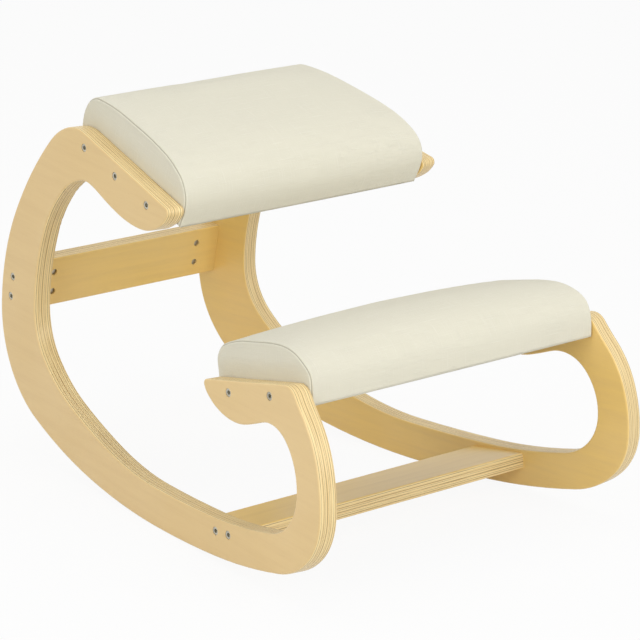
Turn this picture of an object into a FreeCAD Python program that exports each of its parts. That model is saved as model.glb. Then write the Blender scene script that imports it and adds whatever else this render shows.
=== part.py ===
import FreeCAD, Part
import math
import os

# Kneeling chair that rocks on two bent plywood side frames.
# Millimetres. +Z is up, the sitter faces -Y, X is the width. The origin is on the floor, under
# the middle of the chair. Left and right are the sitter's, so left is +X.
# The side frames stand wider apart at the knees than at the back (splay), and lean in a little.

SIZES = {
    # Side frames: a flat outline in each frame's own plane, y to the rear and z up,
    # measured from the point where the runner touches the floor.
    "frame_ply": 24.0,
    "edge_round": 2.5,
    "stance": 221.8,
    "splay_angle": 6.8,
    "lean_angle": 0.9,
    "seat_rail_rear_y": 183.0,
    "seat_rail_rear_z": 447.0,
    "seat_rail_angle": 14.4,
    "seat_rail_length": 193.0,
    "shoulder_y": 265.0,
    "shoulder_z": 421.0,
    "back_y": 378.0,
    "back_z": 185.0,
    "heel_y": 286.0,
    "heel_z": 51.0,
    "heel_angle": 22.0,
    "toe_y": -269.0,
    "toe_z": 28.0,
    "toe_angle": 14.0,
    "front_y": -347.0,
    "front_z": 116.0,
    "knee_bend_y": -304.0,
    "knee_bend_z": 228.0,
    "knee_rail_rear_y": -103.0,
    "knee_rail_rear_z": 216.0,
    "knee_rail_angle": 13.5,
    "knee_rail_length": 167.0,
    # Crossbars of plywood: the rear one on edge, the lower one flat.
    "crossbar_ply": 20.0,
    "crossbar_round": 2.0,
    "rear_bar_y": 348.8,
    "rear_bar_z": 209.5,
    "rear_bar_height": 66.0,
    "rear_bar_lean": 8.7,
    "lower_bar_y": -149.0,
    "lower_bar_z": 39.5,
    "lower_bar_depth": 80.0,
    "lower_bar_slope": 7.9,
    # Seat cushion, along its rail from the rail's front end and above the rail's top line.
    "seat_front": -8.0,
    "seat_rear": 235.0,
    "seat_crest_y": 94.5,
    "seat_swell": 41.5,
    "seat_crown": 7.0,
    "seat_brow_in": 24.0,
    "seat_brow_drop": 11.0,
    "seat_brow_turn": 22.0,
    "seat_shoulder_in": 30.0,
    "seat_shoulder_drop": 8.0,
    "seat_shoulder_turn": 12.0,
    "seat_board_top": -8.0,
    "seat_board_ply": 19.0,
    "seat_bolt_pitch": 74.4,
    # Knee cushion, the same way along the knee rail.
    "knee_front": -21.0,
    "knee_rear": 173.0,
    "knee_crest_y": 60.5,
    "knee_swell": 42.0,
    "knee_crown": 6.0,
    "knee_brow_in": 24.0,
    "knee_brow_drop": 11.0,
    "knee_brow_turn": 28.0,
    "knee_shoulder_in": 22.0,
    "knee_shoulder_drop": 6.0,
    "knee_shoulder_turn": 15.0,
    "knee_board_top": -2.0,
    "knee_board_ply": 24.0,
    "knee_bolt_pitch": 85.8,
    # Upholstery.
    "cover_cloth": 2.0,
    "cushion_gap": 0.3,
    "cushion_tuck": 4.0,
    "cushion_foot_turn": 12.0,
    "crown_margin": 35.0,
    "seam_round": 4.0,
    "board_margin": 9.0,
    "hem_width": 28.0,
    "dust_cloth": 1.0,
    "dust_cloth_lap": 14.0,
    # Fasteners: sunk socket screws, cross dowels in the bars, threaded inserts in the boards.
    "screw_radius": 3.0,
    "screw_head_radius": 5.0,
    "screw_head_height": 6.0,
    "screw_sink": 0.9,
    "socket_width": 5.0,
    "socket_depth": 3.5,
    "hole_play": 0.3,
    "thread_play": 0.05,
    "bore_past_screw": 2.0,
    "bar_bolt_pitch": 27.0,
    "dowel_radius": 4.0,
    "dowel_length": 14.0,
    "dowel_inset": 35.0,
    "dowel_sink": 3.0,
    "screw_past_dowel": 8.0,
    "insert_radius": 5.0,
    "insert_length": 14.5,
    "insert_sink": 1.5,
}

# Inside of the loop, facing each point of the outer line: how far on along the outer line the
# strip is measured, the strip's width there, and the turn away from the outer line's direction.
LOOP = {
    "front": (15.0, 49.0, 0.0),
    "toe": (-8.0, 47.0, 0.0),
    "floor": (0.0, 49.0, 0.0),
    "heel": (60.0, 71.0, 0.0),
    "back": (-15.0, 84.0, 0.0),
    "shoulder": (0.0, 66.0, 8.0),
}
# How the underside of each rail runs back from its tip: distance along the rail from the end
# given, depth below the rail's top line, and turn away from the rail's own direction.
KNEE_UNDERSIDE = {
    "knee_tip": (0.0, 17.0, 52.0),
    "knee_belly": (50.0, 48.0, 14.0),
    "knee_hollow": (110.0, 46.0, -9.0),
}
SEAT_UNDERSIDE = {
    "seat_head": (188.0, 62.0, -32.0),
    "seat_hollow": (144.0, 56.0, 7.0),
    "seat_belly": (45.0, 53.0, -15.0),
    "seat_tip": (2.0, 25.0, -50.0),
}

SIDES = {"left": 1, "right": -1}
CROSSBARS = ("rear", "lower")
CUSHIONS = ("seat", "knee")
STATIONS = CUSHIONS + CROSSBARS

# Length of the blocks that stand for half of all space, and how far a cutter runs past a face.
REACH = 900.0
OVERRUN = 1.0
# Two lengths this close are the same, and a face this square to X is a cushion's side panel.
TINY = 0.01
SIDEWAYS = 0.9

os.makedirs("parts", exist_ok=True)
doc = FreeCAD.newDocument("KneelingChair")
sheet = doc.addObject("Spreadsheet::Sheet", "Sizes")


def fill_sheet():
    rows = dict(SIZES)
    for table in (LOOP, KNEE_UNDERSIDE, SEAT_UNDERSIDE):
        for name, (along, depth, turn) in table.items():
            rows[name + "_along"] = along
            rows[name + "_depth"] = depth
            rows[name + "_turn"] = turn
    for row, (name, value) in enumerate(rows.items(), start=1):
        sheet.set(f"A{row}", name)
        sheet.set(f"B{row}", str(value))
        sheet.setAlias(f"B{row}", name)
    doc.recompute()


fill_sheet()


def size(name):
    return float(sheet.get(name))


def bind(thing, **sizes):
    for prop, formula in sizes.items():
        thing.setExpression(prop, formula)


# Directions and points in a side frame's own plane are (y, z) pairs; a heading is degrees from +y.
def heading_vector(heading):
    return (math.cos(math.radians(heading)), math.sin(math.radians(heading)))


def step(point, heading, forward, right=0.0):
    y, z = heading_vector(heading)
    return (point[0] + forward * y + right * z, point[1] + forward * z - right * y)


def plane_point(name):
    return (size(name + "_y"), size(name + "_z"))


def rail_ends(kind):
    """Front and rear end of a rail's straight top line: the seat's rises to the rear, the knees'
    to the front."""
    rear = plane_point(f"{kind}_rail_rear")
    slope = size(f"{kind}_rail_angle")
    heading = 180 + slope if kind == "seat" else 180 - slope
    return step(rear, heading, size(f"{kind}_rail_length")), rear


def side_outline():
    """Points and headings round the frame: along the seat rail, down the back, along the runner
    to the front, back along the knee rail, and home round the inside of the loop."""
    seat_slope = size("seat_rail_angle")
    knee_slope = size("knee_rail_angle")
    seat_front, seat_rear = rail_ends("seat")
    knee_front, knee_rear = rail_ends("knee")
    curve = {
        "shoulder": (plane_point("shoulder"), -45),
        "back": (plane_point("back"), -90),
        "heel": (plane_point("heel"), 180 + size("heel_angle")),
        "floor": ((0.0, 0.0), 180),
        "toe": (plane_point("toe"), 180 - size("toe_angle")),
        "front": (plane_point("front"), 90),
        "knee_bend": (plane_point("knee_bend"), 45),
    }
    outside = (
        [(seat_front, seat_slope, "line"), (seat_rear, seat_slope, "bend")]
        + [(point, heading, "bend") for point, heading in curve.values()]
        + [(knee_front, -knee_slope, "line"), (knee_rear, -knee_slope, "bend")]
    )
    knee_side = [
        (step(knee_rear, 180 - knee_slope, size(name + "_along"), -size(name + "_depth")),
         180 - knee_slope + size(name + "_turn"), "bend")
        for name in KNEE_UNDERSIDE
    ]
    loop = []
    for name in LOOP:
        point, heading = curve[name]
        inside = step(point, heading, size(name + "_along"), size(name + "_depth"))
        loop.append((inside, heading + 180 + size(name + "_turn"), "bend"))
    seat_side = [
        (step(seat_front, seat_slope, size(name + "_along"), size(name + "_depth")),
         180 + seat_slope + size(name + "_turn"), "bend")
        for name in SEAT_UNDERSIDE
    ]
    return outside + knee_side + loop + seat_side


def arc_from(start, heading, end):
    """Arc that leaves start on the heading and reaches end."""
    across = (end[0] - start[0], end[1] - start[1])
    chord = math.hypot(*across)
    bearing = math.degrees(math.atan2(across[1], across[0]))
    half_turn = (bearing - heading + 180) % 360 - 180
    rise = chord / 2 * math.tan(math.radians(half_turn) / 2)
    middle = step(start, bearing, chord / 2, rise)
    points = [FreeCAD.Vector(y, z, 0) for y, z in (start, middle, end)]
    return Part.Arc(*points), heading + 2 * half_turn


def bend(start, heading, end, end_heading):
    """Two arcs that join two points smoothly, both as long in their tangents."""
    leave = heading_vector(heading)
    arrive = heading_vector(end_heading)
    across = (end[0] - start[0], end[1] - start[1])
    both = (leave[0] + arrive[0], leave[1] + arrive[1])
    square = 2 * (1 - leave[0] * arrive[0] - leave[1] * arrive[1])
    linear = 2 * (across[0] * both[0] + across[1] * both[1])
    constant = -(across[0] ** 2 + across[1] ** 2)
    root = math.sqrt(linear ** 2 - 4 * square * constant)
    reach = -2 * constant / (linear + root)
    joint = tuple((start[k] + end[k] + reach * (leave[k] - arrive[k])) / 2 for k in (0, 1))
    first, joint_heading = arc_from(start, heading, joint)
    return [first, arc_from(joint, joint_heading, end)[0]]


def closed_curve(points):
    """Lines and arcs round a list of (point, heading, how it goes on)."""
    pieces = []
    for (start, heading, kind), (end, end_heading, _) in zip(points, points[1:] + points[:1]):
        if kind == "line":
            pieces.append(Part.LineSegment(FreeCAD.Vector(*start, 0), FreeCAD.Vector(*end, 0)))
        else:
            pieces.extend(bend(start, heading, end, end_heading))
    return pieces


# Placing. A side frame's outer face is its body's YZ plane, and the ply grows inwards.
def bare_side_placement(side):
    turn = FreeCAD.Rotation(side * size("splay_angle"), -side * size("lean_angle"), 0)
    return FreeCAD.Placement(FreeCAD.Vector(side * size("stance"), 0, 0), turn)


def floor_middle():
    """The point under the middle of the standing chair, before it is moved to the origin."""
    rim = size("edge_round")
    inner = size("frame_ply") - rim
    place = bare_side_placement(-1)
    foremost = place.multVec(FreeCAD.Vector(inner, size("front_y") + rim, size("front_z")))
    rearmost = place.multVec(FreeCAD.Vector(rim, size("back_y") - rim, size("back_z")))
    lowest = place.multVec(FreeCAD.Vector(inner, 0, rim))
    return FreeCAD.Vector(0, (foremost.y + rearmost.y) / 2, lowest.z - rim)


MIDDLE = floor_middle()


def side_placement(side):
    place = bare_side_placement(side)
    place.Base = place.Base - MIDDLE
    return place


def on_outer_face(side, point):
    return side_placement(side).multVec(FreeCAD.Vector(0, *point))


def outer_face_x(y, z):
    """Half the chair's width, over the outer faces, at a height and distance back."""
    place = side_placement(1)
    normal = place.Rotation.multVec(FreeCAD.Vector(1, 0, 0))
    return place.Base.x - (normal.y * (y - place.Base.y) + normal.z * (z - place.Base.z)) / normal.x


def along_x(x, y, z, side=1):
    """Placement whose local Z runs along X, towards the middle from the given side."""
    turn = FreeCAD.Rotation(FreeCAD.Vector(0, 1, 0), -90 * side)
    return FreeCAD.Placement(FreeCAD.Vector(x, y, z), turn)


def tilted(y, z, degrees):
    """Placement turned about X, for a crossbar or a cushion."""
    turn = FreeCAD.Rotation(FreeCAD.Vector(1, 0, 0), degrees)
    return FreeCAD.Placement(FreeCAD.Vector(0, y, z), turn)


# Building blocks.
def origin_plane(body, role):
    return next(part for part in body.Origin.OriginFeatures if part.Role == role)


def add_sketch(body, name, pieces, offset):
    sketch = body.newObject("Sketcher::SketchObject", name)
    sketch.AttachmentSupport = [(origin_plane(body, "YZ_Plane"), "")]
    sketch.MapMode = "FlatFace"
    sketch.AttachmentOffset = FreeCAD.Placement(FreeCAD.Vector(0, 0, offset), FreeCAD.Rotation())
    for piece in pieces:
        sketch.addGeometry(piece)
    return sketch


def cylinder(name, radius, length, place):
    rod = doc.addObject("Part::Cylinder", name)
    bind(rod, Radius=radius, Height=length)
    rod.Placement = place
    return rod


def block(name, corner, lengths, place):
    box = doc.addObject("Part::Box", name)
    box.Length, box.Width, box.Height = lengths
    box.Placement = place.multiply(FreeCAD.Placement(FreeCAD.Vector(*corner), FreeCAD.Rotation()))
    return box


def combine(kind, name, pieces):
    joined = doc.addObject("Part::" + kind, name)
    joined.Shapes = pieces
    return joined


def cut(name, base, tool):
    piece = doc.addObject("Part::Cut", name)
    piece.Base = base
    piece.Tool = tool
    return piece


def copy_of(thing):
    """A second use of a shape, so that each boolean has inputs of its own."""
    twin = doc.addObject("Part::Compound", thing.Name + "_use")
    twin.Links = [thing]
    return twin


def group(name, solids):
    together = doc.addObject("Part::Compound", name)
    together.Links = solids
    return together


def between_sides(name, gap):
    """The wedge of space between the inner faces of the two side frames, less a gap each side."""
    depth = size("frame_ply") + gap
    lengths = (REACH, 2 * REACH, 2 * REACH)
    halves = []
    for word, side in SIDES.items():
        corner = (depth if side < 0 else -depth - REACH, -REACH, -REACH)
        halves.append(block(f"{name}_{word}", corner, lengths, side_placement(side)))
    return combine("MultiCommon", name, halves)


# Crossbars.
def crossbar_placement(kind):
    lean = size("rear_bar_lean") if kind == "rear" else -size("lower_bar_slope")
    return tilted(size(f"{kind}_bar_y") - MIDDLE.y, size(f"{kind}_bar_z") - MIDDLE.z, lean)


def crossbar_bolt_points(kind):
    """Where the two bolts run, as (y, z): through the middle of the bar's ply."""
    half = size("bar_bolt_pitch") / 2
    place = crossbar_placement(kind)
    offsets = [(0, 0, half), (0, 0, -half)] if kind == "rear" else [(0, half, 0), (0, -half, 0)]
    return [place.multVec(FreeCAD.Vector(*offset)) for offset in offsets]


def crossbar_blank(kind):
    width = size("crossbar_ply") if kind == "rear" else size("lower_bar_depth")
    height = size("rear_bar_height") if kind == "rear" else size("crossbar_ply")
    body = doc.addObject("PartDesign::Body", f"{kind}_bar_blank")
    corners = [(-1, -1), (1, -1), (1, 1), (-1, 1)]
    outline = [((across * width / 2, up * height / 2), 0, "line") for across, up in corners]
    sketch = add_sketch(body, f"{kind}_bar_section", closed_curve(outline), 0.0)
    pad = body.newObject("PartDesign::Pad", f"{kind}_bar_length")
    pad.Profile = sketch
    pad.Midplane = True
    pad.Length = REACH
    doc.recompute()
    long_edges = [
        f"Edge{number}" for number, edge in enumerate(pad.Shape.Edges, start=1)
        if abs(edge.BoundBox.XLength - REACH) < TINY
    ]
    rounded = body.newObject("PartDesign::Fillet", f"{kind}_bar_edges")
    rounded.Base = (pad, long_edges)
    bind(rounded, Radius="Sizes.crossbar_round")
    body.Placement = crossbar_placement(kind)
    return body


def dowel_place(kind, point, side, depth):
    """Cross dowel's axis runs through the bar's ply from its front or its underside, starting at
    a depth inside that face."""
    x = side * (outer_face_x(point.y, point.z) - size("frame_ply") - size("dowel_inset"))
    turn = crossbar_placement(kind).Rotation
    if kind == "rear":
        turn = turn.multiply(FreeCAD.Rotation(FreeCAD.Vector(1, 0, 0), -90))
    start = turn.multVec(FreeCAD.Vector(0, 0, depth - size("crossbar_ply") / 2))
    return FreeCAD.Placement(FreeCAD.Vector(x, point.y, point.z) + start, turn)


def bolt_depth(kind):
    """From the side frame's outer face to the screw's end."""
    if kind in CROSSBARS:
        return "Sizes.frame_ply + Sizes.dowel_inset + Sizes.screw_past_dowel"
    return "Sizes.frame_ply + Sizes.cover_cloth + Sizes.insert_sink + Sizes.insert_length"


def bolt_points(kind):
    if kind in CROSSBARS:
        return crossbar_bolt_points(kind)
    return board_bolt_points(kind)


CLEAR_BORE = "Sizes.screw_radius + Sizes.hole_play"
THREAD_BORE = "Sizes.screw_radius + Sizes.thread_play"


def bolt_hole(name, kind, point, side, radius):
    """Bore for a screw, from outside the frame to just past the screw's end."""
    x = side * (outer_face_x(point.y, point.z) + size("screw_head_radius"))
    length = f"{bolt_depth(kind)} + Sizes.screw_head_radius + Sizes.bore_past_screw"
    return cylinder(name, radius, length, along_x(x, point.y, point.z, side))


def bolt_holes(name, kinds, sides):
    holes = [
        bolt_hole(f"{name}_{kind}", kind, point, side, CLEAR_BORE)
        for kind in kinds for side in sides for point in bolt_points(kind)
    ]
    return combine("MultiFuse", name, holes)


def crossbar(kind):
    label = f"{kind}_crossbar"
    ends = between_sides(f"{label}_ends", 0.0)
    shaped = combine("MultiCommon", f"{label}_shaped", [crossbar_blank(kind), ends])
    radius = "Sizes.dowel_radius + Sizes.hole_play"
    depth = f"Sizes.dowel_sink + Sizes.dowel_length + Sizes.hole_play + {OVERRUN}"
    holes = [bolt_holes(f"{label}_bores", [kind], SIDES.values())]
    for side in SIDES.values():
        for point in crossbar_bolt_points(kind):
            place = dowel_place(kind, point, side, -OVERRUN)
            holes.append(cylinder(f"{label}_dowel_hole", radius, depth, place))
    bar = cut(label, shaped, combine("MultiFuse", f"{label}_holes", holes))
    bar.Label = label
    return bar


def cross_dowels(kind):
    label = f"{kind}_bar_dowels"
    dowels = []
    for side in SIDES.values():
        for point in crossbar_bolt_points(kind):
            place = dowel_place(kind, point, side, size("dowel_sink"))
            barrel = cylinder(f"{label}_barrel", "Sizes.dowel_radius", "Sizes.dowel_length", place)
            bore = bolt_hole(f"{label}_thread", kind, point, side, THREAD_BORE)
            dowels.append(cut(f"{label}_dowel", barrel, bore))
    nuts = group(label, dowels)
    nuts.Label = label
    return nuts


# Side frames.
def side_frame(word):
    side = SIDES[word]
    label = f"side_frame_{word}"
    body = doc.addObject("PartDesign::Body", f"{label}_blank")
    sketch = add_sketch(body, f"{label}_outline", closed_curve(side_outline()), 0.0)
    pad = body.newObject("PartDesign::Pad", f"{label}_ply")
    pad.Profile = sketch
    pad.Reversed = side > 0
    bind(pad, Length="Sizes.frame_ply")
    doc.recompute()
    rim_edges = [
        f"Edge{number}" for number, edge in enumerate(pad.Shape.Edges, start=1)
        if edge.BoundBox.XLength < TINY
    ]
    rounded = body.newObject("PartDesign::Fillet", f"{label}_rim")
    rounded.Base = (pad, rim_edges)
    bind(rounded, Radius="Sizes.edge_round")
    body.Placement = side_placement(side)
    radius = "Sizes.screw_head_radius + Sizes.hole_play"
    depth = "Sizes.screw_head_radius + Sizes.screw_sink + Sizes.screw_head_height"
    holes = [bolt_holes(f"{label}_bores", STATIONS, [side])]
    for kind in STATIONS:
        for point in bolt_points(kind):
            x = side * (outer_face_x(point.y, point.z) + size("screw_head_radius"))
            place = along_x(x, point.y, point.z, side)
            holes.append(cylinder(f"{label}_counterbore", radius, depth, place))
    frame = cut(label, body, combine("MultiFuse", f"{label}_holes", holes))
    frame.Label = label
    return frame


def screws(kind, word):
    """Socket screws sunk in one side frame, at one station."""
    side = SIDES[word]
    label = f"{kind}_screws_{word}"
    length = f"{bolt_depth(kind)} - Sizes.screw_sink"
    made = []
    for point in bolt_points(kind):
        x = side * (outer_face_x(point.y, point.z) - size("screw_sink"))
        place = along_x(x, point.y, point.z, side)
        head = cylinder(f"{label}_head", "Sizes.screw_head_radius", "Sizes.screw_head_height", place)
        shank = cylinder(f"{label}_shank", "Sizes.screw_radius", length, place)
        socket = doc.addObject("Part::Prism", f"{label}_socket")
        socket.Polygon = 6
        bind(socket, Circumradius="Sizes.socket_width / sqrt(3)", Height="Sizes.socket_depth")
        socket.Placement = place
        solid = combine("MultiFuse", f"{label}_solid", [head, shank])
        made.append(cut(f"{label}_screw", solid, socket))
    together = group(label, made)
    together.Label = label
    return together


# Cushions. Each is built along its rail: local y runs to the rear from the rail's front end,
# local z stands above the rail's top line.
def cushion_placement(kind):
    front, rear = [on_outer_face(-1, point) for point in rail_ends(kind)]
    slope = math.degrees(math.atan2(rear.z - front.z, rear.y - front.y))
    return tilted(front.y, front.z, slope)


def board_middle(kind):
    """Middle of the base board in the cushion's own y and z."""
    y = (size(f"{kind}_front") + size(f"{kind}_rear")) / 2
    z = size(f"{kind}_board_top") - size(f"{kind}_board_ply") / 2
    return (y, z)


def board_bolt_points(kind):
    y, z = board_middle(kind)
    pitch = size(f"{kind}_bolt_pitch")
    steps = (-1, 0, 1) if kind == "seat" else (-0.5, 0.5)
    place = cushion_placement(kind)
    return [place.multVec(FreeCAD.Vector(0, y + count * pitch, z)) for count in steps]


def cushion_profile(kind, inset, crown):
    """Side view of the cushion: flat below, drawn in at the foot, round at the rear and over the
    front, swelling to a crest between them."""
    front = size(f"{kind}_front") + inset
    rear = size(f"{kind}_rear") - inset
    bottom = size(f"{kind}_board_top") - size(f"{kind}_board_ply") - size("cover_cloth") + inset
    crest = size(f"{kind}_swell") + crown - inset
    tuck = size("cushion_tuck")
    foot_turn = size("cushion_foot_turn")
    shoulder = (rear - size(f"{kind}_shoulder_in"), crest - size(f"{kind}_shoulder_drop"))
    brow = (front + size(f"{kind}_brow_in"), crest - size(f"{kind}_brow_drop"))
    return [
        ((front + tuck, bottom), 270 + foot_turn, "line"),
        ((rear - tuck, bottom), 90 - foot_turn, "bend"),
        ((rear, 0.0), 90, "bend"),
        (shoulder, 180 - size(f"{kind}_shoulder_turn"), "bend"),
        ((size(f"{kind}_crest_y"), crest), 180, "bend"),
        (brow, 180 + size(f"{kind}_brow_turn"), "bend"),
        ((front, 0.0), 270, "bend"),
    ]


def cushion_form(name, kind, inset):
    """Loft across the chair: the crown rises in the middle and falls to the sides."""
    body = doc.addObject("PartDesign::Body", name)
    end = size("stance") + size("crown_margin")
    sections = []
    for offset, crown in ((-end, 0.0), (0.0, size(f"{kind}_crown")), (end, 0.0)):
        outline = closed_curve(cushion_profile(kind, inset, crown))
        sections.append(add_sketch(body, f"{name}_section", outline, offset))
    doc.recompute()
    loft = body.newObject("PartDesign::AdditiveLoft", f"{name}_loft")
    loft.Profile = sections[0]
    loft.Sections = sections[1:]
    body.Placement = cushion_placement(kind)
    return body


def round_seams(name, skin):
    """Soften the seams where the top panel meets the flat side panels."""
    doc.recompute()
    panels = [face for face in skin.Shape.Faces if abs(face.normalAt(0, 0).x) > SIDEWAYS]
    seams = [
        number for number, edge in enumerate(skin.Shape.Edges, start=1)
        if any(edge.isSame(side) for panel in panels for side in panel.Edges)
    ]
    radius = size("seam_round")
    rounded = doc.addObject("Part::Fillet", name)
    rounded.Base = skin
    rounded.Edges = [(number, radius, radius) for number in seams]
    return rounded


def slab(name, kind, low, high, margin, space):
    """Flat layer of a cushion between two heights, kept a margin inside its front and rear."""
    front = size(f"{kind}_front") + margin
    rear = size(f"{kind}_rear") - margin
    corner = (-REACH, front, low)
    layer = block(name, corner, (2 * REACH, rear - front, high - low), cushion_placement(kind))
    return combine("MultiCommon", f"{name}_trimmed", [layer, space])


def insert_place(kind, point, side, depth):
    """On a screw's axis, at a depth inside the base board's end."""
    board_end = size("frame_ply") + size("cushion_gap") + size("cover_cloth")
    x = outer_face_x(point.y, point.z) - board_end - depth
    return along_x(side * x, point.y, point.z, side)


def board_holes(kind):
    """Holes for the threaded inserts, and for the screws' ends behind them."""
    label = f"{kind}_insert_hole"
    radius = "Sizes.insert_radius + Sizes.thread_play"
    length = "Sizes.insert_sink + Sizes.insert_length + Sizes.screw_head_radius"
    holes = [bolt_holes(f"{kind}_board_bores", [kind], SIDES.values())]
    for side in SIDES.values():
        for point in board_bolt_points(kind):
            place = insert_place(kind, point, side, -size("screw_head_radius"))
            holes.append(cylinder(label, radius, length, place))
    return combine("MultiFuse", f"{kind}_board_holes", holes)


def cushion(kind):
    """Base board, foam, cover and dust cloth of one cushion."""
    gap = size("cushion_gap")
    cloth = size("cover_cloth")
    top = size(f"{kind}_board_top")
    bottom = top - size(f"{kind}_board_ply")
    margin = size("board_margin")
    hem = size("hem_width")
    lap = hem - size("dust_cloth_lap")
    inner_space = between_sides(f"{kind}_inner_space", gap + cloth)
    outer_space = between_sides(f"{kind}_outer_space", gap)

    board_blank = slab(f"{kind}_board_blank", kind, bottom, top, margin, copy_of(inner_space))
    board = cut(f"{kind}_board", board_blank, board_holes(kind))

    filling = cushion_form(f"{kind}_foam_form", kind, cloth)
    stuffing = combine("MultiCommon", f"{kind}_stuffing", [filling, copy_of(inner_space)])
    foam = cut(f"{kind}_foam", stuffing, copy_of(board_blank))

    wrapping = cushion_form(f"{kind}_cover_form", kind, 0.0)
    skin = combine("MultiCommon", f"{kind}_skin", [wrapping, outer_space])
    hem_space = between_sides(f"{kind}_hem_space", gap + hem)
    opening = slab(f"{kind}_opening", kind, bottom - cloth - OVERRUN, bottom, margin + hem, hem_space)
    bores = bolt_holes(f"{kind}_cover_bores", [kind], SIDES.values())
    hollow = combine("MultiFuse", f"{kind}_hollow", [copy_of(stuffing), opening, bores])
    cover = cut(f"{kind}_cover", round_seams(f"{kind}_seams", skin), hollow)

    dust_top = bottom - cloth
    dust_bottom = dust_top - size("dust_cloth")
    dust_space = between_sides(f"{kind}_dust_space", gap + lap)
    dust = slab(f"{kind}_dust", kind, dust_bottom, dust_top, margin + lap, dust_space)

    layers = {"board": board, "foam": foam, "cover": cover, "dust_cloth": dust}
    for name, layer in layers.items():
        layer.Label = f"{kind}_{name}"
    return list(layers.values())


def threaded_inserts(kind):
    label = f"{kind}_inserts"
    made = []
    for side in SIDES.values():
        for point in board_bolt_points(kind):
            place = insert_place(kind, point, side, size("insert_sink"))
            sleeve = cylinder(f"{label}_sleeve", "Sizes.insert_radius", "Sizes.insert_length", place)
            bore = bolt_hole(f"{label}_thread", kind, point, side, THREAD_BORE)
            made.append(cut(f"{label}_insert", sleeve, bore))
    together = group(label, made)
    together.Label = label
    return together


def build():
    pieces = [side_frame(word) for word in SIDES]
    for kind in CROSSBARS:
        pieces += [crossbar(kind), cross_dowels(kind)]
    for kind in CUSHIONS:
        pieces += cushion(kind) + [threaded_inserts(kind)]
    for kind in STATIONS:
        pieces += [screws(kind, word) for word in SIDES]
    doc.recompute()
    return pieces


def check(pieces):
    for thing in doc.Objects:
        if "Invalid" in thing.State or "Error" in thing.State:
            raise RuntimeError(f"{thing.Name} failed: {thing.State}")
    for piece in pieces:
        if piece.Shape.isNull() or not piece.Shape.isValid() or not piece.Shape.Solids:
            raise RuntimeError(f"{piece.Label} has no valid solid")


def write(pieces):
    for piece in pieces:
        piece.Shape.exportStep(f"parts/{piece.Label}.step")
        box = piece.Shape.BoundBox
        volume = piece.Shape.Volume / 1000
        print(f"{piece.Label}: {len(piece.Shape.Solids)} solids, {volume:.1f} cm3,"
              f" z {box.ZMin:.1f} to {box.ZMax:.1f}")


pieces = build()
check(pieces)
write(pieces)
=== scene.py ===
import math

import bmesh
import bpy
import numpy as np
from mathutils import Matrix, Vector
from mathutils.kdtree import KDTree

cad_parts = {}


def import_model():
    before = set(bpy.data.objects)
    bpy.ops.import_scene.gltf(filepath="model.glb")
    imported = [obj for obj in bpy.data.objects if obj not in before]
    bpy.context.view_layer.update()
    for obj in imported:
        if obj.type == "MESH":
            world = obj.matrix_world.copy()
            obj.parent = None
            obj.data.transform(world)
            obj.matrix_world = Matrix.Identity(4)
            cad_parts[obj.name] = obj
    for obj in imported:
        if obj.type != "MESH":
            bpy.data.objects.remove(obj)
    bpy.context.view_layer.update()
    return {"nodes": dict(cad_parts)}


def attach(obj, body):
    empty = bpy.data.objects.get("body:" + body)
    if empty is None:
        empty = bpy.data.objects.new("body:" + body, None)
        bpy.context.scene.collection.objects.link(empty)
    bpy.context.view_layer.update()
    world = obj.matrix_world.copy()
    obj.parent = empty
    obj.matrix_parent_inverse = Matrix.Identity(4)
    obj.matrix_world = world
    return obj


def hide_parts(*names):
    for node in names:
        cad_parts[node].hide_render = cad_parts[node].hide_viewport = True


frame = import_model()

# Kneeling chair that rocks on two bent plywood side frames. Metres; +Z is up, the sitter faces
# -Y, and left is the sitter's left, +X.
MM = 0.001
FRAME_PLY = 0.024
CROSSBAR_PLY = 0.020
# The left side frame's outer face: a point on it, and which way it looks. It leans in at the
# top, and closes in towards the back.
FACE_POINT = Vector((0.2218, -0.01369, 0.00034))
FACE_NORMAL = Vector((0.99284, 0.11839, 0.01571)).normalized()
# Crossbars: y and z of the middle, and in degrees the rear one's lean and the lower one's slope.
REAR_BAR = (0.33511, 0.20984, 8.7)
LOWER_BAR = (-0.16269, 0.03984, -7.9)

# Cushions, in millimetres along the rail from its front end and above its top line, with the
# place and slope of that line.
SEAT = {
    "y": -0.01834, "z": 0.39929, "slope": 14.503, "front": -8, "rear": 235, "bottom": -29,
    "crest_y": 94.5, "swell": 41.5, "crown": 7, "brow_in": 24, "brow_drop": 11, "brow_turn": 22,
    "shoulder_in": 30, "shoulder_drop": 8, "shoulder_turn": 12, "spill": 0.5, "puff": 0.0030,
    "board_top": -8, "board_ply": 19,
}
KNEE = {
    "y": -0.27768, "z": 0.25529, "slope": -13.585, "front": -21, "rear": 173, "bottom": -28,
    "crest_y": 60.5, "swell": 42, "crown": 6, "brow_in": 24, "brow_drop": 11, "brow_turn": 28,
    "shoulder_in": 22, "shoulder_drop": 6, "shoulder_turn": 15, "spill": 2.8, "puff": 0.0040,
    "board_top": -2, "board_ply": 24,
}
# The foot of a cushion's front and rear: how far it is tucked under, and its turn in degrees.
TUCK = 4
FOOT_TURN = 12
# In metres: half the width over which a cushion is crowned, and its gap to the side frames.
CROWN_REACH = 0.2568
CUSHION_GAP = 0.0003


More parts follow.
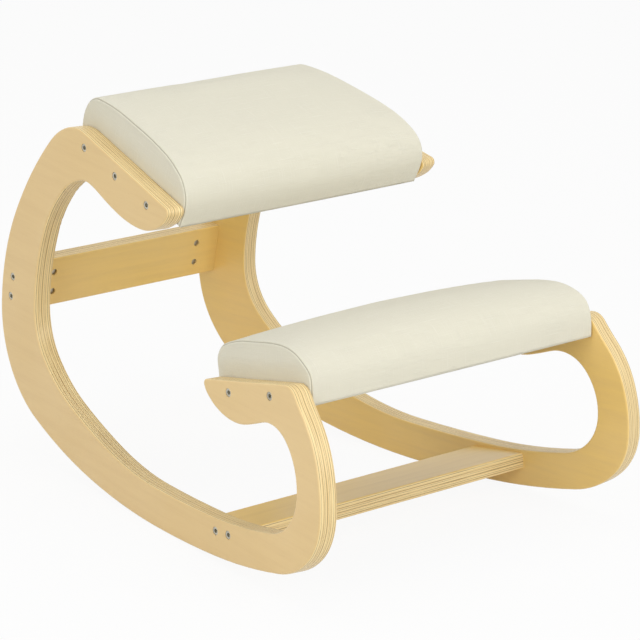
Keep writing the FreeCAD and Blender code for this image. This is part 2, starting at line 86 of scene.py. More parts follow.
# Shader arithmetic.
class Value:
    """A socket of a material's nodes. Sums written with it add Math nodes."""

    def __init__(self, tree, socket=None):
        self.tree = tree
        self.socket = socket

    def make(self, kind, settings=None, inputs=None, output=0):
        node = self.tree.nodes.new(kind)
        for name, setting in (settings or {}).items():
            setattr(node, name, setting)
        for name, given in (inputs or {}).items():
            if isinstance(given, Value):
                self.tree.links.new(given.socket, node.inputs[name])
            else:
                node.inputs[name].default_value = given
        return Value(self.tree, node.outputs[output]) if node.outputs else node

    def output(self, which):
        """Another output of the same node."""
        return Value(self.tree, self.socket.node.outputs[which])

    def sum(self, operation, *others):
        return self.make("ShaderNodeMath", {"operation": operation}, dict(enumerate(others)))

    def __add__(self, other):
        return self.sum("ADD", self, other)

    def __sub__(self, other):
        return self.sum("SUBTRACT", self, other)

    def __rsub__(self, other):
        return self.sum("SUBTRACT", other, self)

    def __mul__(self, other):
        return self.sum("MULTIPLY", self, other)

    def __truediv__(self, other):
        return self.sum("DIVIDE", self, other)

    __radd__ = __add__
    __rmul__ = __mul__

    def fraction(self):
        return self.sum("FRACT", self)

    def size(self):
        return self.sum("ABSOLUTE", self)

    def wave(self):
        return self.sum("SINE", self)

    def step(self, low, high):
        """0 below low, 1 above high, smooth between."""
        return self.make(
            "ShaderNodeMapRange", {"interpolation_type": "SMOOTHSTEP"},
            {"Value": self, "From Min": low, "From Max": high},
        )

    def mix(self, first, second):
        """first where this is 0, second where it is 1."""
        inputs = {0: self, 6: first, 7: second}
        return self.make("ShaderNodeMix", {"data_type": "RGBA"}, inputs, 2)

    def noise(self, vector, scale, detail=2.0, roughness=0.5):
        inputs = {"Vector": vector, "Scale": scale, "Detail": detail, "Roughness": roughness}
        return self.make("ShaderNodeTexNoise", None, inputs)

    def point(self, x, y, z=0.0):
        return self.make("ShaderNodeCombineXYZ", None, {"X": x, "Y": y, "Z": z})

    def vector(self, operation, *others, output=0):
        settings = {"operation": operation}
        return self.make("ShaderNodeVectorMath", settings, dict(enumerate(others)), output)


def finish(name, build, constants):
    """A material: build gives the sockets that vary, and constants are the same all over."""
    material = bpy.data.materials.new(name)
    material.use_nodes = True
    tree = material.node_tree
    tree.nodes.clear()
    start = Value(tree)
    varied = build(start)
    shader = start.make("ShaderNodeBsdfPrincipled", None, {**constants, **varied})
    start.make("ShaderNodeOutputMaterial", None, {"Surface": shader})
    return material


def bump(start, height, distance):
    inputs = {"Height": height, "Strength": 1.0, "Distance": distance}
    return start.make("ShaderNodeBump", None, inputs)


def object_place(start):
    return start.make("ShaderNodeTexCoord", None, None, 3)


# Finishes. Of two colours, the first shows where a pattern is 0 and the second where it is 1.
# Each step gives where a pattern sets in, and the share after it how strongly it colours.
LONG_PLY = ((0.95, 0.76, 0.39, 1), (0.86, 0.65, 0.31, 1))
END_PLY = ((0.93, 0.72, 0.36, 1), (0.76, 0.54, 0.24, 1))
GLUE_BROWN = (0.22, 0.13, 0.045, 1)
FIGURE_BROWN = (0.62, 0.40, 0.17, 1)
PORE_BROWN = (0.45, 0.27, 0.10, 1)
CLOUD_GOLD = (0.95, 0.75, 0.47, 1)
# In metres: how far a glue line wanders, and between which depths a face veneer ends.
GLUE_WANDER = 0.0005
FACE_VENEER = (0.0012, 0.0008)
# In plies: the wave by which veneers differ in thickness, and where in a ply its glue line is.
VENEER_BEAT = 2.3
VENEER_UNEVEN = 0.16
GLUE_LINE = (0.37, 0.46)
CROSS_PLY = (0.2495, 0.2505)
# How often each streak repeats in a metre: along the grain, across it, and through the ply.
FLECKS = (16, 16, 900)
VEINS = (5, 90, 40)
PORES = (60, 1500, 300)
PLY_RELIEF = 0.00022


def plywood(name, face_point, normal, thickness, plies, grain, faces):
    """Lacquered birch ply. normal looks out of its first face, grain runs along its veneers, and
    faces are the colours of the first and the last veneer; where they differ, the last one is
    painted shade."""
    across = Vector(normal).cross(Vector(grain)).normalized()
    along = across.cross(Vector(normal)).normalized()

    def build(start):
        place = object_place(start)
        offset = start.vector("SUBTRACT", place, face_point)
        drift = start.noise(place, 9.0, 3.0) - 0.5
        depth = start.vector("DOT_PRODUCT", offset, -Vector(normal), output=1)
        run = start.vector("DOT_PRODUCT", offset, along, output=1)
        side = start.vector("DOT_PRODUCT", offset, across, output=1)
        layers = (depth + drift * GLUE_WANDER) / (thickness / plies)
        layers = layers + (layers * VENEER_BEAT).wave() * VENEER_UNEVEN
        within = layers.fraction()
        # Every second ply shows its end grain on the edges, and runs a little darker.
        cross_ply = ((layers / 2).fraction() - 0.5).size().step(*CROSS_PLY)
        glue = (within - 0.5).size().step(*GLUE_LINE)

        def streaked(often, detail, roughness):
            pattern = start.point(run * often[0], side * often[1], depth * often[2])
            return start.noise(pattern, 1.0, detail, roughness)

        streaks = streaked(FLECKS, 4.0, 0.6)
        figure = streaked(VEINS, 6.0, 0.62)
        pores = streaked(PORES, 2.0, 0.5)
        cloud = start.noise(place, 6.0, 2.0)
        ends = [thickness / 2 - inset for inset in FACE_VENEER]
        in_face = (depth - thickness / 2).size().step(*ends)

        long_ply = streaks.step(0.30, 0.72).mix(*LONG_PLY)
        end_ply = streaks.step(0.30, 0.70).mix(*END_PLY)
        edge = cross_ply.mix(long_ply, end_ply)
        edge = (glue * streaks.step(0.22, 0.52) * 0.92).mix(edge, GLUE_BROWN)
        # Across the thickness the colour goes from the first face's to the last's; on the side
        # frames the inner face's colour is painted shade.
        veneer = (depth / thickness).step(0.4, 0.6).mix(*faces)
        veneer = (figure.step(0.35, 0.75) * 0.22).mix(veneer, FIGURE_BROWN)
        veneer = (pores.step(0.60, 0.78) * 0.16).mix(veneer, PORE_BROWN)
        veneer = (cloud.step(0.3, 0.7) * 0.12).mix(veneer, CLOUD_GOLD)
        colour = in_face.mix(edge, veneer)
        relief = (1 - in_face) * (streaks * 0.5 - glue) + in_face * (pores * 0.25 + figure * 0.2)
        return {
            "Base Color": colour,
            "Roughness": 0.34 + figure * 0.12 + (1 - in_face) * 0.12,
            "Normal": bump(start, relief, PLY_RELIEF),
        }

    return finish(name, build, {"Coat Weight": 0.30, "Coat Roughness": 0.22, "IOR": 1.48})


THREAD_TONES = ((0.735, 0.70, 0.56, 1), (0.90, 0.875, 0.745, 1))
SLUB_TONE = (0.93, 0.91, 0.80, 1)
CLOUDY_TONE = (0.80, 0.78, 0.62, 1)
SEAM_SHADE = (0.33, 0.29, 0.20, 1)
THREAD_PITCH = 0.00085
THREAD_WANDER = 0.0010
# Slubs in a metre, along the thread and across it.
SLUBS = (22, 900)
LINEN_RELIEF = 0.00022
SEAM_LINE = (0.0002, 0.0011)


def linen(name):
    """Undyed linen-look cloth: warp and weft with slubs, and the shadow of the seam."""
    def build(start):
        cloth = start.make("ShaderNodeAttribute", {"attribute_name": "cloth"}, None, 1)
        seam = start.make("ShaderNodeAttribute", {"attribute_name": "seam"}, None, 2)
        across = start.make("ShaderNodeSeparateXYZ", None, {"Vector": cloth})
        along = across.output(1)
        wander = (start.noise(cloth, 60.0, 2.0) - 0.5) * THREAD_WANDER

        def threads(place):
            return 1 - (((place + wander) / THREAD_PITCH).fraction() - 0.5).size() * 2

        warp, weft = threads(across), threads(along)
        few, many = SLUBS
        slub_weft = start.noise(start.point(across * few, along * many), 1.0, 3.0, 0.6)
        slub_warp = start.noise(start.point(across * many, along * few), 1.0, 3.0, 0.6)
        weave = warp * (0.6 + slub_warp) * 0.5 + weft * (0.6 + slub_weft) * 0.5
        slubs = slub_weft.step(0.56, 0.74) + slub_warp.step(0.58, 0.76)
        cloud = start.noise(cloth, 7.0, 2.0)
        base = (weave * 0.55).mix(*THREAD_TONES)
        base = (slubs * 0.45).mix(base, SLUB_TONE)
        base = (cloud.step(0.35, 0.7) * 0.10).mix(base, CLOUDY_TONE)
        dip = 1 - seam.size().step(*SEAM_LINE)
        colour = (dip * 0.62).mix(base, SEAM_SHADE)
        return {"Base Color": colour, "Normal": bump(start, weave + slubs * 0.9, LINEN_RELIEF)}

    return finish(name, build, {"Roughness": 0.92, "Sheen Weight": 0.12, "Sheen Roughness": 0.5})


SPUN_BLACKS = ((0.012, 0.012, 0.013, 1), (0.055, 0.055, 0.060, 1))
SPUN_DOTS = 420.0
SPUN_RELIEF = 0.0002


def dust_cloth_finish(name):
    """Spun black cloth stapled under the boards: a felted grid of small dots."""
    def build(start):
        place = object_place(start)
        fibres = start.noise(place, 900.0, 4.0, 0.7)
        inputs = {"Vector": place, "Scale": SPUN_DOTS}
        dots = start.make("ShaderNodeTexVoronoi", {"distance": "CHEBYCHEV"}, inputs)
        pressed = 1 - dots.step(0.20, 0.45)
        colour = (fibres * 0.8).mix(*SPUN_BLACKS)
        return {"Base Color": colour, "Normal": bump(start, fibres - pressed * 0.6, SPUN_RELIEF)}

    return finish(name, build, {"Roughness": 0.85})


ZINC_TONES = ((0.55, 0.53, 0.45, 1), (0.36, 0.34, 0.29, 1))
ZINC_RELIEF = 0.00002


def zinc(name):
    """Zinc plate on the fasteners: fine brushing and a little dulling."""
    def build(start):
        place = object_place(start)
        scratches = start.noise(place, 1800.0, 3.0, 0.6)
        dull = start.noise(place, 160.0, 2.0)
        colour = (dull.step(0.4, 0.7) * 0.5).mix(*ZINC_TONES)
        return {
            "Base Color": colour,
            "Roughness": 0.34 + dull * 0.2,
            "Normal": bump(start, scratches, ZINC_RELIEF),
        }

    return finish(name, build, {"Metallic": 1.0})


BOARD_TONE = (0.66, 0.47, 0.25, 1)
BOARD_PLIES = 7
ALONG_X = (1, 0, 0)
ALONG_Y = (0, 1, 0)


def board_finish(name, face_point, normal, thickness):
    """Ply of the boards inside the cushions."""
    tones = (BOARD_TONE, BOARD_TONE)
    return plywood(name, face_point, normal, thickness, BOARD_PLIES, ALONG_X, tones)


# Shapes.
MERGE = 0.00002
NEARLY_STRAIGHT = 1e-6


def into_mesh(shape, name):
    mesh = bpy.data.meshes.new(name)
    shape.to_mesh(mesh)
    shape.free()
    return mesh


def skin(name, rings, layers):
    """Closed piece through rings of points, each with as many points as the next. The first and
    the last ring are folded shut. layers holds numbers or vectors to keep for each point."""
    count = rings.shape[1]
    shape = bmesh.new()
    index = shape.verts.layers.int.new("place")
    start = bmesh.ops.create_circle(shape, segments=count, radius=1.0)["verts"]
    for number, vert in enumerate(start):
        vert[index] = number
        vert.co = rings[0, number]
    edges = list(shape.edges)
    for level in range(1, len(rings)):
        grown = bmesh.ops.extrude_edge_only(shape, edges=edges)["geom"]
        for vert in (item for item in grown if isinstance(item, bmesh.types.BMVert)):
            number = vert[index] % count
            vert[index] = level * count + number
            vert.co = rings[level, number]
        edges = [
            item for item in grown
            if isinstance(item, bmesh.types.BMEdge)
            and all(vert[index] >= level * count for vert in item.verts)
        ]
    bmesh.ops.remove_doubles(shape, verts=shape.verts, dist=MERGE)
    bmesh.ops.dissolve_degenerate(shape, edges=shape.edges, dist=MERGE)
    bmesh.ops.recalc_face_normals(shape, faces=shape.faces)
    for face in shape.faces:
        face.smooth = True
    mesh = into_mesh(shape, name)
    order = np.zeros(len(mesh.vertices), int)
    mesh.attributes["place"].data.foreach_get("value", order)
    for layer, values in layers.items():
        values = values.reshape(-1, values.shape[-1]) if values.ndim == 3 else values.reshape(-1)
        kind, field = ("FLOAT_VECTOR", "vector") if values.ndim == 2 else ("FLOAT", "value")
        kept = values[order].ravel().astype(np.float32)
        mesh.attributes.new(layer, kind, "POINT").data.foreach_set(field, kept)
    mesh.attributes.remove(mesh.attributes["place"])
    return mesh, order


def new_piece(name, mesh, material):
    piece = bpy.data.objects.new(name, mesh)
    bpy.context.scene.collection.objects.link(piece)
    mesh.materials.clear()
    mesh.materials.append(material)
    return piece


def heading(degrees):
    return np.array([math.cos(math.radians(degrees)), math.sin(math.radians(degrees))])


def quarter_left(direction):
    return np.array([-direction[1], direction[0]])


def arc(start, way, end, count):
    """Points of the arc that leaves start on a way and reaches end, all but its end."""
    chord = end - start
    half = math.atan2(way[0] * chord[1] - way[1] * chord[0], way @ chord)
    length = np.linalg.norm(chord)
    steps = np.arange(count) / count
    turned = 2 * half * steps
    if abs(half) < NEARLY_STRAIGHT:
        return start + chord * steps[:, None], way
    radius = length / (2 * math.sin(half))
    points = start + radius * (
        np.sin(turned)[:, None] * way + (1 - np.cos(turned))[:, None] * quarter_left(way)
    )
    return points, math.cos(2 * half) * way + math.sin(2 * half) * quarter_left(way)


def bend(start, way, end, end_way, counts):
    """Two arcs that join two points smoothly."""
    across = end - start
    both = way + end_way
    square = 2 * (1 - way @ end_way)
    linear = 2 * (across @ both)
    constant = -(across @ across)
    root = math.sqrt(linear ** 2 - 4 * square * constant)
    reach = -2 * constant / (linear + root)
    joint = (start + end + reach * (way - end_way)) / 2
    first, way = arc(start, way, joint, counts[0])
    second, _ = arc(joint, way, end, counts[1])
    return np.vstack([first, second])


def outline_corners(sizes, crown):
    """Points and headings round the side view of a cushion, from the foot of its front along the
    underside and back over the top."""
    front, rear, bottom = sizes["front"], sizes["rear"], sizes["bottom"]
    crest = sizes["swell"] + crown
    shoulder = (rear - sizes["shoulder_in"], crest - sizes["shoulder_drop"])
    brow = (front + sizes["brow_in"], crest - sizes["brow_drop"])
    return [
        ((front + TUCK, bottom), 0),
        ((rear - TUCK, bottom), 90 - FOOT_TURN),
        ((rear, 0), 90),
        (shoulder, 180 - sizes["shoulder_turn"]),
        ((sizes["crest_y"], crest), 180),
        (brow, 180 + sizes["brow_turn"]),
        ((front, 0), 270),
        ((front + TUCK, bottom), 270 + FOOT_TURN),
    ]


def cushion_outline(sizes, crown, spacing):
    """Points round the side view, as many whatever the crown."""
    corners = outline_corners(sizes, crown)
    uncrowned = outline_corners(sizes, 0.0)
    pieces = []
    for number, ((start, angle), (end, end_angle)) in enumerate(zip(corners, corners[1:])):
        start, end = np.array(start, float), np.array(end, float)
        span = math.dist(uncrowned[number][0], uncrowned[number + 1][0])
        count = max(2, int(span / spacing / 2))
        if number == 0:
            steps = np.arange(2 * count) / (2 * count)
            pieces.append(start + (end - start) * steps[:, None])
        else:
            way, end_way = heading(angle), heading(end_angle)
            pieces.append(bend(start, way, end, end_way, (count, count)))
    return np.vstack(pieces) * MM


def inner_face_x(y, z, inside):
    """Half width of the space between the side frames, less a distance inside it."""
    depth = FRAME_PLY + inside
    reach = FACE_NORMAL.dot(FACE_POINT) - depth
    return (reach - FACE_NORMAL.y * y - FACE_NORMAL.z * z) / FACE_NORMAL.x


# Rounding of the cover's edge at the seam, and the angle in it where the seam lies.
CORNER = 0.0035
SEAM_ANGLE = 45
# Where the cushion's ends start to spill out over the rails, and over what height.
SPILL_FROM = 0.003
SPILL_RISE = 0.022


def cushion_rings(sizes, spacing, stations, corner_rows, panel_rows):
    """Rings of points from the middle of the left side panel, over the seam, across the cushion
    and into the other side panel; the cloth's own coordinates; and the distance to the seam."""
    flat = cushion_outline(sizes, 0.0, spacing)
    crowned = cushion_outline(sizes, sizes["crown"], spacing)
    lengths = np.linalg.norm(np.roll(flat, -1, 0) - flat, axis=1)
    arc_length = np.concatenate([[0], np.cumsum(lengths)[:-1]])
    slope = math.radians(sizes["slope"])
    forward = np.array([math.cos(slope), math.sin(slope)])
    upward = np.array([-math.sin(slope), math.cos(slope)])
    origin = np.array([sizes["y"], sizes["z"]])
    centre_z = (sizes["swell"] + sizes["bottom"]) / 2 * MM
    inset = (sizes["swell"] - sizes["bottom"]) / 2 * MM

    def outline_at(x):
        share = np.clip(1 - (x / CROWN_REACH) ** 2, 0, 1)
        return flat + (crowned - flat) * share[:, None]

    def in_plane(local):
        return origin + local[:, :1] * forward + local[:, 1:] * upward

    def world(x, local):
        return np.column_stack([x, in_plane(local)])

    def edge_x(local):
        plane = in_plane(local)
        above = np.clip((local[:, 1] - SPILL_FROM) / SPILL_RISE, 0, 1)
        spill = sizes["spill"] * MM * above ** 2 * (3 - 2 * above)
        return inner_face_x(plane[:, 0], plane[:, 1], CUSHION_GAP) + spill

    rim = outline_at(edge_x(flat))
    tangent = np.roll(rim, -1, 0) - np.roll(rim, 1, 0)
    tangent /= np.linalg.norm(tangent, axis=1)[:, None]
    inward = np.column_stack([-tangent[:, 1], tangent[:, 0]])
    spine_y = np.clip(rim[:, 0], (sizes["front"] * MM + inset), (sizes["rear"] * MM - inset))
    spine_y = np.round(spine_y / (spacing * MM)) * spacing * MM
    spine = np.column_stack([spine_y, np.full(len(rim), centre_z)])

    half = []
    # Side panel, from near its middle out to the seam's corner.
    at_corner = rim + inward * CORNER
    for share in panel_rows:
        local = spine + (at_corner - spine) * share
        drop = np.linalg.norm(rim - local, axis=1)
        half.append((edge_x(local), local, -drop, np.column_stack([local, np.zeros(len(local))])))
    for degrees in corner_rows:
        turn = math.radians(degrees)
        local = rim + inward * CORNER * (1 - math.sin(turn))
        x = edge_x(local) - CORNER * (1 - math.cos(turn))
        away = np.full(len(rim), CORNER * (turn - math.radians(SEAM_ANGLE)))
        if degrees < SEAM_ANGLE:
            cloth = np.column_stack([local, np.zeros(len(local))])
        else:
            cloth = np.column_stack([x, arc_length, np.ones(len(local))])
        half.append((x, local, away, cloth))
    rings, cloths, seams = [], [], []
    for x, local, away, cloth in half:
        rings.append(world(x, local))
        cloths.append(cloth)
        seams.append(away)
    for share in stations:
        x = (edge_x(rim) - CORNER) * share
        local = outline_at(x)
        x = (edge_x(local) - CORNER) * share
        away = edge_x(local) - np.abs(x)
        rings.append(world(x, local))
        cloths.append(np.column_stack([x, arc_length, np.ones(len(local))]))
        seams.append(away)
    for x, local, away, cloth in reversed(half):
        rings.append(world(-x, local))
        cloths.append(cloth * [-1 if cloth[0, 2] else 1, 1, 1])
        seams.append(away)
    return np.array(rings), np.array(cloths), np.array(seams)


# The simulated copy: its spacing in millimetres, its rows, and how it is held. Cloth stays put
# below HELD_INSIDE between the side frames, and below HELD_ON_RAIL beside and on the rails.
COPY_SPACING = 16.0
COPY_STATIONS = (0.94, -0.94, 18)
COPY_CORNER_ROWS = (0, 90)
COPY_PANEL_ROWS = (0.0, 0.4, 0.8)
RAIL_MARGIN = 0.004
HELD_INSIDE = -0.022
HELD_ON_RAIL = 0.002
CLOTH_FRAMES = 20
CLOTH = {
    "quality": 6, "mass": 0.25, "tension_stiffness": 60, "compression_stiffness": 60,
    "shear_stiffness": 30, "bending_stiffness": 2.0, "use_pressure": True,
    "uniform_pressure_force": 4.0, "vertex_group_mass": "held",
}


def swell(name, sizes):
    """How a cushion's cloth fills out under pressure: start points and how far each moves."""
    stations = np.linspace(*COPY_STATIONS)
    rows = (COPY_CORNER_ROWS, COPY_PANEL_ROWS)
    rings, _, _ = cushion_rings(sizes, COPY_SPACING, stations, *rows)
    mesh, _ = skin(name, rings, {})
    piece = bpy.data.objects.new(name, mesh)
    bpy.context.scene.collection.objects.link(piece)
    start = np.array([v.co for v in mesh.vertices])
    held = piece.vertex_groups.new(name="held")
    for number, height in enumerate(cushion_height(sizes, start)):
        x, y, z = start[number]
        limit = HELD_INSIDE if abs(x) < inner_face_x(y, z, RAIL_MARGIN) else HELD_ON_RAIL
        held.add([number], float(height < limit), "REPLACE")
    settings = piece.modifiers.new("Cloth", "CLOTH").settings
    for setting, value in CLOTH.items():
        setattr(settings, setting, value)
    settings.effector_weights.gravity = 0.0
    scene = bpy.context.scene
    for number in range(1, CLOTH_FRAMES + 1):
        scene.frame_set(number)
    moved = piece.evaluated_get(bpy.context.evaluated_depsgraph_get())
    end = np.array([v.co for v in moved.data.vertices])
    bpy.data.objects.remove(piece)
    scene.frame_set(1)
    return start, end - start


def cushion_height(sizes, points):
    """Height above the rail's top line."""
    slope = math.radians(sizes["slope"])
    rise = (points[:, 2] - sizes["z"]) * math.cos(slope)
    return rise - (points[:, 1] - sizes["y"]) * math.sin(slope)


# The simulation isn't the same each run, and nor is the order of its mesh's faces. A coarse copy
# differs less on average than a fine one, though not at its worst point. Its moves are blended
# over this many of its points, and this far.
BLEND_POINTS = 16
BLEND_REACH = 0.013
NO_MOVE = 1e-9
SEAM_DEPTH = 0.0010
SEAM_WIDTH = 0.0008
WELT = 0.00025
WELT_FROM_SEAM = 0.0028
WELT_WIDTH = 0.0014
# The finished cover: its spacing in millimetres, and its rows, closest together at the seam.
COVER_SPACING = 2.6
NEAR_SEAM = np.array([0.994, 0.985, 0.972, 0.955])
MIDDLE = (0.93, -0.93, 90)
CORNER_ROWS = (0, 15, 28, 36, 41, 45, 49, 54, 62, 75, 90)
PANEL_ROWS = (0.0, 0.12, 0.25, 0.40, 0.54, 0.66, 0.77, 0.86, 0.93, 0.98)


def cushion(name, sizes, material):
    """One cushion's cover over its foam, as one closed crowned form with a seam round each side."""
    stations = np.concatenate([NEAR_SEAM, np.linspace(*MIDDLE), -NEAR_SEAM[::-1]])
    rings, cloth, seam = cushion_rings(sizes, COVER_SPACING, stations, CORNER_ROWS, PANEL_ROWS)
    mesh, order = skin(name, rings, {"cloth": cloth, "seam": seam})
    points = np.array([v.co for v in mesh.vertices])
    normals = np.array([v.normal for v in mesh.vertices])
    away = seam.reshape(-1)[order]
    start, move = swell(name + "_swell", sizes)
    size = np.linalg.norm(move, axis=1)
    move = move * np.minimum(1, sizes["puff"] / np.maximum(size, NO_MOVE))[:, None]
    tree = KDTree(len(start))
    for number, point in enumerate(start):
        tree.insert(point, number)
    tree.balance()
    for number, point in enumerate(points):
        near = tree.find_n(point, BLEND_POINTS)
        weights = np.exp(-(np.array([item[2] for item in near]) / BLEND_REACH) ** 2)
        points[number] += weights @ move[[item[1] for item in near]] / weights.sum()
    groove = np.exp(-(away / SEAM_WIDTH) ** 2) * SEAM_DEPTH
    welt = np.exp(-((np.abs(away) - WELT_FROM_SEAM) / WELT_WIDTH) ** 2) * WELT
    points += normals * (welt - groove)[:, None]
    mesh.vertices.foreach_set("co", points.ravel())
    mesh.update()
    return new_piece(name, mesh, material)


# Dust cloths under the boards, in squares of mesh across and along, and in millimetres: how far
# in from the cushion's ends and sides they stop, and how thick and how far below it they are.
DUST_SQUARES = (48, 24)
DUST_FROM_END = 23
DUST_FROM_SIDE = 14.3
DUST_THICK = 0.7
DUST_UNDER_COVER = 0.15
# Staples, in millimetres: their size and rounding, how far in from the cloth's edge they are, and
# about how far apart.
STAPLE = (10.0, 1.3, 0.7)
STAPLE_ROUNDING = 0.25
STAPLE_IN = 5.0
STAPLE_PITCH = 42.0


def under_cushion(sizes, along, share, depth):
    """Place under a cushion: along its rail, a share of the half width, and below its cover."""
    slope = math.radians(sizes["slope"])
    height = (sizes["bottom"] - depth) * MM
    y = sizes["y"] + along * MM * math.cos(slope) - height * math.sin(slope)
    z = sizes["z"] + along * MM * math.sin(slope) + height * math.cos(slope)
    return Vector((share * inner_face_x(y, z, DUST_FROM_SIDE * MM), y, z))


def dust_ends(sizes):
    return sizes["front"] + DUST_FROM_END, sizes["rear"] - DUST_FROM_END


def dust_sheet(kind, sizes, material):
    """Black cloth drawn tight under a board, over the turned-in hem of the cover."""
    front, rear = dust_ends(sizes)
    shape = bmesh.new()
    wide, long = DUST_SQUARES
    grid = bmesh.ops.create_grid(shape, x_segments=wide, y_segments=long, size=1.0)["verts"]
    middle = (front + rear) / 2
    for vert in grid:
        along = middle + vert.co.y * (rear - front) / 2
        vert.co = under_cushion(sizes, along, vert.co.x, DUST_UNDER_COVER)
    cut = sum(face.calc_area() for face in shape.faces)
    bmesh.ops.recalc_face_normals(shape, faces=shape.faces)
    bmesh.ops.solidify(shape, geom=shape.faces, thickness=DUST_THICK * MM)
    bmesh.ops.recalc_face_normals(shape, faces=shape.faces)
    name = f"{kind}_dust_sheet"
    sheet = new_piece(name, into_mesh(shape, name), material)
    width = 2 * max(under_cushion(sizes, end, 1, DUST_UNDER_COVER).x for end in (front, rear))
    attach(sheet, "root")
    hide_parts(f"{kind}_dust_cloth")
    (rear - front) * MM


def staples(kind, sizes, material):
    """Wire staples round the dust cloth's edge, each lying along it."""
    front, rear = dust_ends(sizes)
    depth = DUST_UNDER_COVER + DUST_THICK
    near, far = front + STAPLE_IN, rear - STAPLE_IN
    slope = Matrix.Rotation(math.radians(sizes["slope"]), 4, "X")
    places = []
    for along in (near, far):
        half = under_cushion(sizes, along, 1, depth).x / MM - STAPLE_IN
        count = int(2 * half / STAPLE_PITCH)
        for number in range(count + 1):
            share = (2 * number / count - 1) * half / (half + STAPLE_IN)
            places.append((under_cushion(sizes, along, share, depth), Matrix.Identity(4)))
    toe = math.atan2(-FACE_NORMAL.y, FACE_NORMAL.x)
    count = int((far - near) / STAPLE_PITCH)
    for side in (-1, 1):
        for number in range(1, count):
            along = near + (far - near) * number / count
            half = under_cushion(sizes, along, 1, depth).x / MM
            place = under_cushion(sizes, along, side * (half - STAPLE_IN) / half, depth)
            places.append((place, Matrix.Rotation(math.pi / 2 + side * toe, 4, "Z")))
    shape = bmesh.new()
    scale = Matrix.Diagonal((*(side * MM for side in STAPLE), 1))
    for place, turn in places:
        lie = Matrix.Translation(place) @ slope @ turn @ scale
        bmesh.ops.create_cube(shape, size=1.0, matrix=lie)
    bmesh.ops.bevel(
        shape, geom=shape.edges, affect="EDGES", offset=STAPLE_ROUNDING * MM, segments=2,
        profile=0.5, material=-1,
    )
    name = f"{kind}_staples"
    wires = new_piece(name, into_mesh(shape, name), material)
    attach(wires, "root")


# The chair.
# The side frames' outer face tone, then the inner face's: yellower and deeper, a painted shade of
# the gap between the frames.
FRAME_FACE_AND_PAINTED_SHADE_TONES = ((0.79, 0.565, 0.25, 1), (0.85, 0.575, 0.165, 1))
FRAME_PLIES = 9
CROSSBAR_TONE = (0.92, 0.645, 0.205, 1)
CROSSBAR_PLIES = 7


def cover_node(node, material):
    piece = frame["nodes"][node]
    piece.data.materials.clear()
    piece.data.materials.append(material)


def out_of_slope(degrees):
    """Which way a surface looks that rises towards the back at an angle."""
    slope = math.radians(degrees)
    return Vector((0, -math.sin(slope), math.cos(slope)))


def dress_frames():
    for word, side in (("left", 1), ("right", -1)):
        point = Vector((side * FACE_POINT.x, FACE_POINT.y, FACE_POINT.z))
        normal = Vector((side * FACE_NORMAL.x, FACE_NORMAL.y, FACE_NORMAL.z))
        name = f"birch_ply_{word}"
        # The inner faces take the painted shade tone.
        ply = plywood(name, point, normal, FRAME_PLY, FRAME_PLIES, ALONG_Y, FRAME_FACE_AND_PAINTED_SHADE_TONES)
        cover_node(f"side_frame_{word}", ply)


def dress_crossbars():
    lean = math.radians(REAR_BAR[2])
    rear_normal = Vector((0, -math.cos(lean), -math.sin(lean)))
    bars = (("rear", REAR_BAR, rear_normal), ("lower", LOWER_BAR, out_of_slope(LOWER_BAR[2])))
    tones = (CROSSBAR_TONE, CROSSBAR_TONE)
    for word, (y, z, _), normal in bars:
        point = Vector((0, y, z)) + normal * (CROSSBAR_PLY / 2)
        name = f"birch_ply_{word}_bar"
        ply = plywood(name, point, normal, CROSSBAR_PLY, CROSSBAR_PLIES, ALONG_X, tones)
        cover_node(f"{word}_crossbar", ply)


def dress_fasteners():
    plate = zinc("zinc_plate")
    for node in frame["nodes"]:
        if "screws" in node or "dowels" in node or "inserts" in node:
            cover_node(node, plate)


def dress_cushions():
    cloth = linen("undyed_linen")
    spun = dust_cloth_finish("spun_dust_cloth")
    wire = zinc("staple_wire")
    for kind, sizes in (("seat", SEAT), ("knee", KNEE)):
        pad = cushion(f"{kind}_cushion", sizes, cloth)
        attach(pad, "root")
        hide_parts(f"{kind}_cover", f"{kind}_foam")
        dust_sheet(kind, sizes, spun)
        staples(kind, sizes, wire)
        normal = out_of_slope(sizes["slope"])
        top = Vector((0, sizes["y"], sizes["z"])) + normal * (sizes["board_top"] * MM)
        board = board_finish(f"{kind}_board_ply", top, normal, sizes["board_ply"] * MM)
        cover_node(f"{kind}_board", board)


# Studio. A lamp has a name, a place, a width and a power. The camera sees FLOOR_GLOW of the floor
# as white, and the shadow in the rest. SKY is the world's light on the chair.
LAMPS = (
    ("key", (0.6, -3.4, 1.9), 2.4, 46.0),
    ("fill", (-3.3, -1.2, 1.5), 2.2, 37.0),
    ("top", (0.0, 0.0, 3.4), 2.6, 27.0),
)
LAMPS_AIM = (0.0, 0.0, 0.25)
WHITE = (1, 1, 1, 1)
FLOOR_PALE = (0.80, 0.80, 0.79, 1)
FLOOR_SIZE = 12.0
FLOOR_GLOW = 0.92
SKY = 0.55


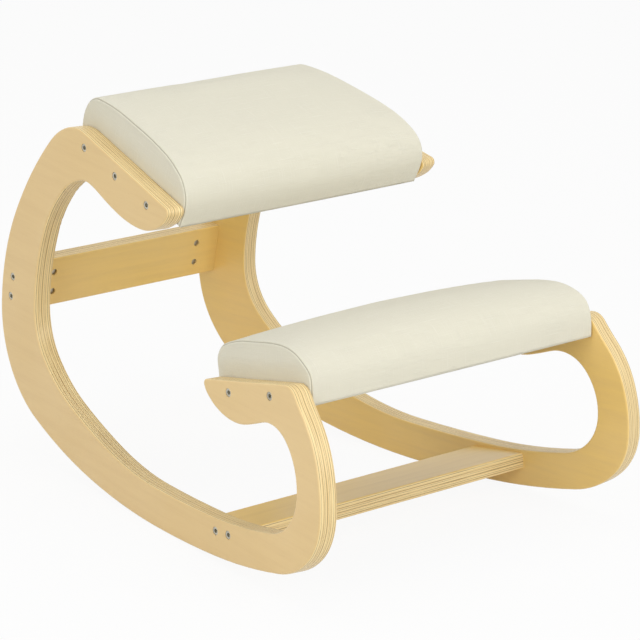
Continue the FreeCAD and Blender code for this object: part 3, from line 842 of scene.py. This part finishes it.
def studio():
    floor_shape = bmesh.new()
    bmesh.ops.create_grid(floor_shape, x_segments=1, y_segments=1, size=FLOOR_SIZE)
    mesh = into_mesh(floor_shape, "studio_floor")
    floor = bpy.data.objects.new("studio_floor", mesh)
    bpy.context.scene.collection.objects.link(floor)
    material = bpy.data.materials.new("pale_floor")
    material.use_nodes = True
    tree = material.node_tree
    tree.nodes.clear()
    start = Value(tree)
    seen = clear_rays(start)
    matt = start.make("ShaderNodeBsdfDiffuse", None, {"Color": FLOOR_PALE})
    glow = start.make("ShaderNodeEmission", None, {"Color": WHITE, "Strength": 1.0})
    mixed = start.make("ShaderNodeMixShader", None, {0: seen * FLOOR_GLOW, 1: matt, 2: glow})
    start.make("ShaderNodeOutputMaterial", None, {"Surface": mixed})
    mesh.materials.append(material)

    world = bpy.data.worlds.new("studio")
    bpy.context.scene.world = world
    world.use_nodes = True
    world.node_tree.nodes.clear()
    start = Value(world.node_tree)
    strength = SKY + clear_rays(start) * (1 - SKY)
    sky = start.make("ShaderNodeBackground", None, {"Color": WHITE, "Strength": strength})
    start.make("ShaderNodeOutputWorld", None, {"Surface": sky})
    for setting in LAMPS:
        lamp(*setting)


def clear_rays(start):
    """1 for what the camera sees, straight or in gloss or glass."""
    path = start.make("ShaderNodeLightPath")
    seen = path.output("Is Camera Ray")
    for ray in ("Is Glossy Ray", "Is Transmission Ray"):
        seen = seen.sum("MAXIMUM", seen, path.output(ray))
    return seen


def lamp(name, place, width, power):
    light = bpy.data.lights.new(name, "AREA")
    light.shape = "SQUARE"
    light.size = width
    light.energy = power
    stand = bpy.data.objects.new(name, light)
    bpy.context.scene.collection.objects.link(stand)
    turn = (Vector(LAMPS_AIM) - Vector(place)).to_track_quat("-Z", "Y")
    stand.matrix_world = Matrix.Translation(Vector(place)) @ turn.to_matrix().to_4x4()


CAMERA_PLACE = (-2.66266, -3.01284, 1.45764)
CAMERA_RIGHT = (0.749186, -0.661569, 0.032356)
CAMERA_UP = (0.171793, 0.241259, 0.955134)
CAMERA_BACK = (-0.639693, -0.710015, 0.294401)
SENSOR = 36.0
FOCAL_LENGTH = 191.25
FAR_CLIP = 60.0


def camera():
    lens = bpy.data.cameras.new("camera")
    lens.sensor_width = SENSOR
    lens.lens = FOCAL_LENGTH
    lens.clip_end = FAR_CLIP
    stand = bpy.data.objects.new("camera", lens)
    bpy.context.scene.collection.objects.link(stand)
    turn = Matrix((CAMERA_RIGHT, CAMERA_UP, CAMERA_BACK)).transposed().to_4x4()
    stand.matrix_world = Matrix.Translation(CAMERA_PLACE) @ turn
    bpy.context.scene.camera = stand


camera()
dress_frames()
dress_crossbars()
dress_fasteners()
dress_cushions()
studio()
bpy.context.scene.view_settings.view_transform = "Standard"
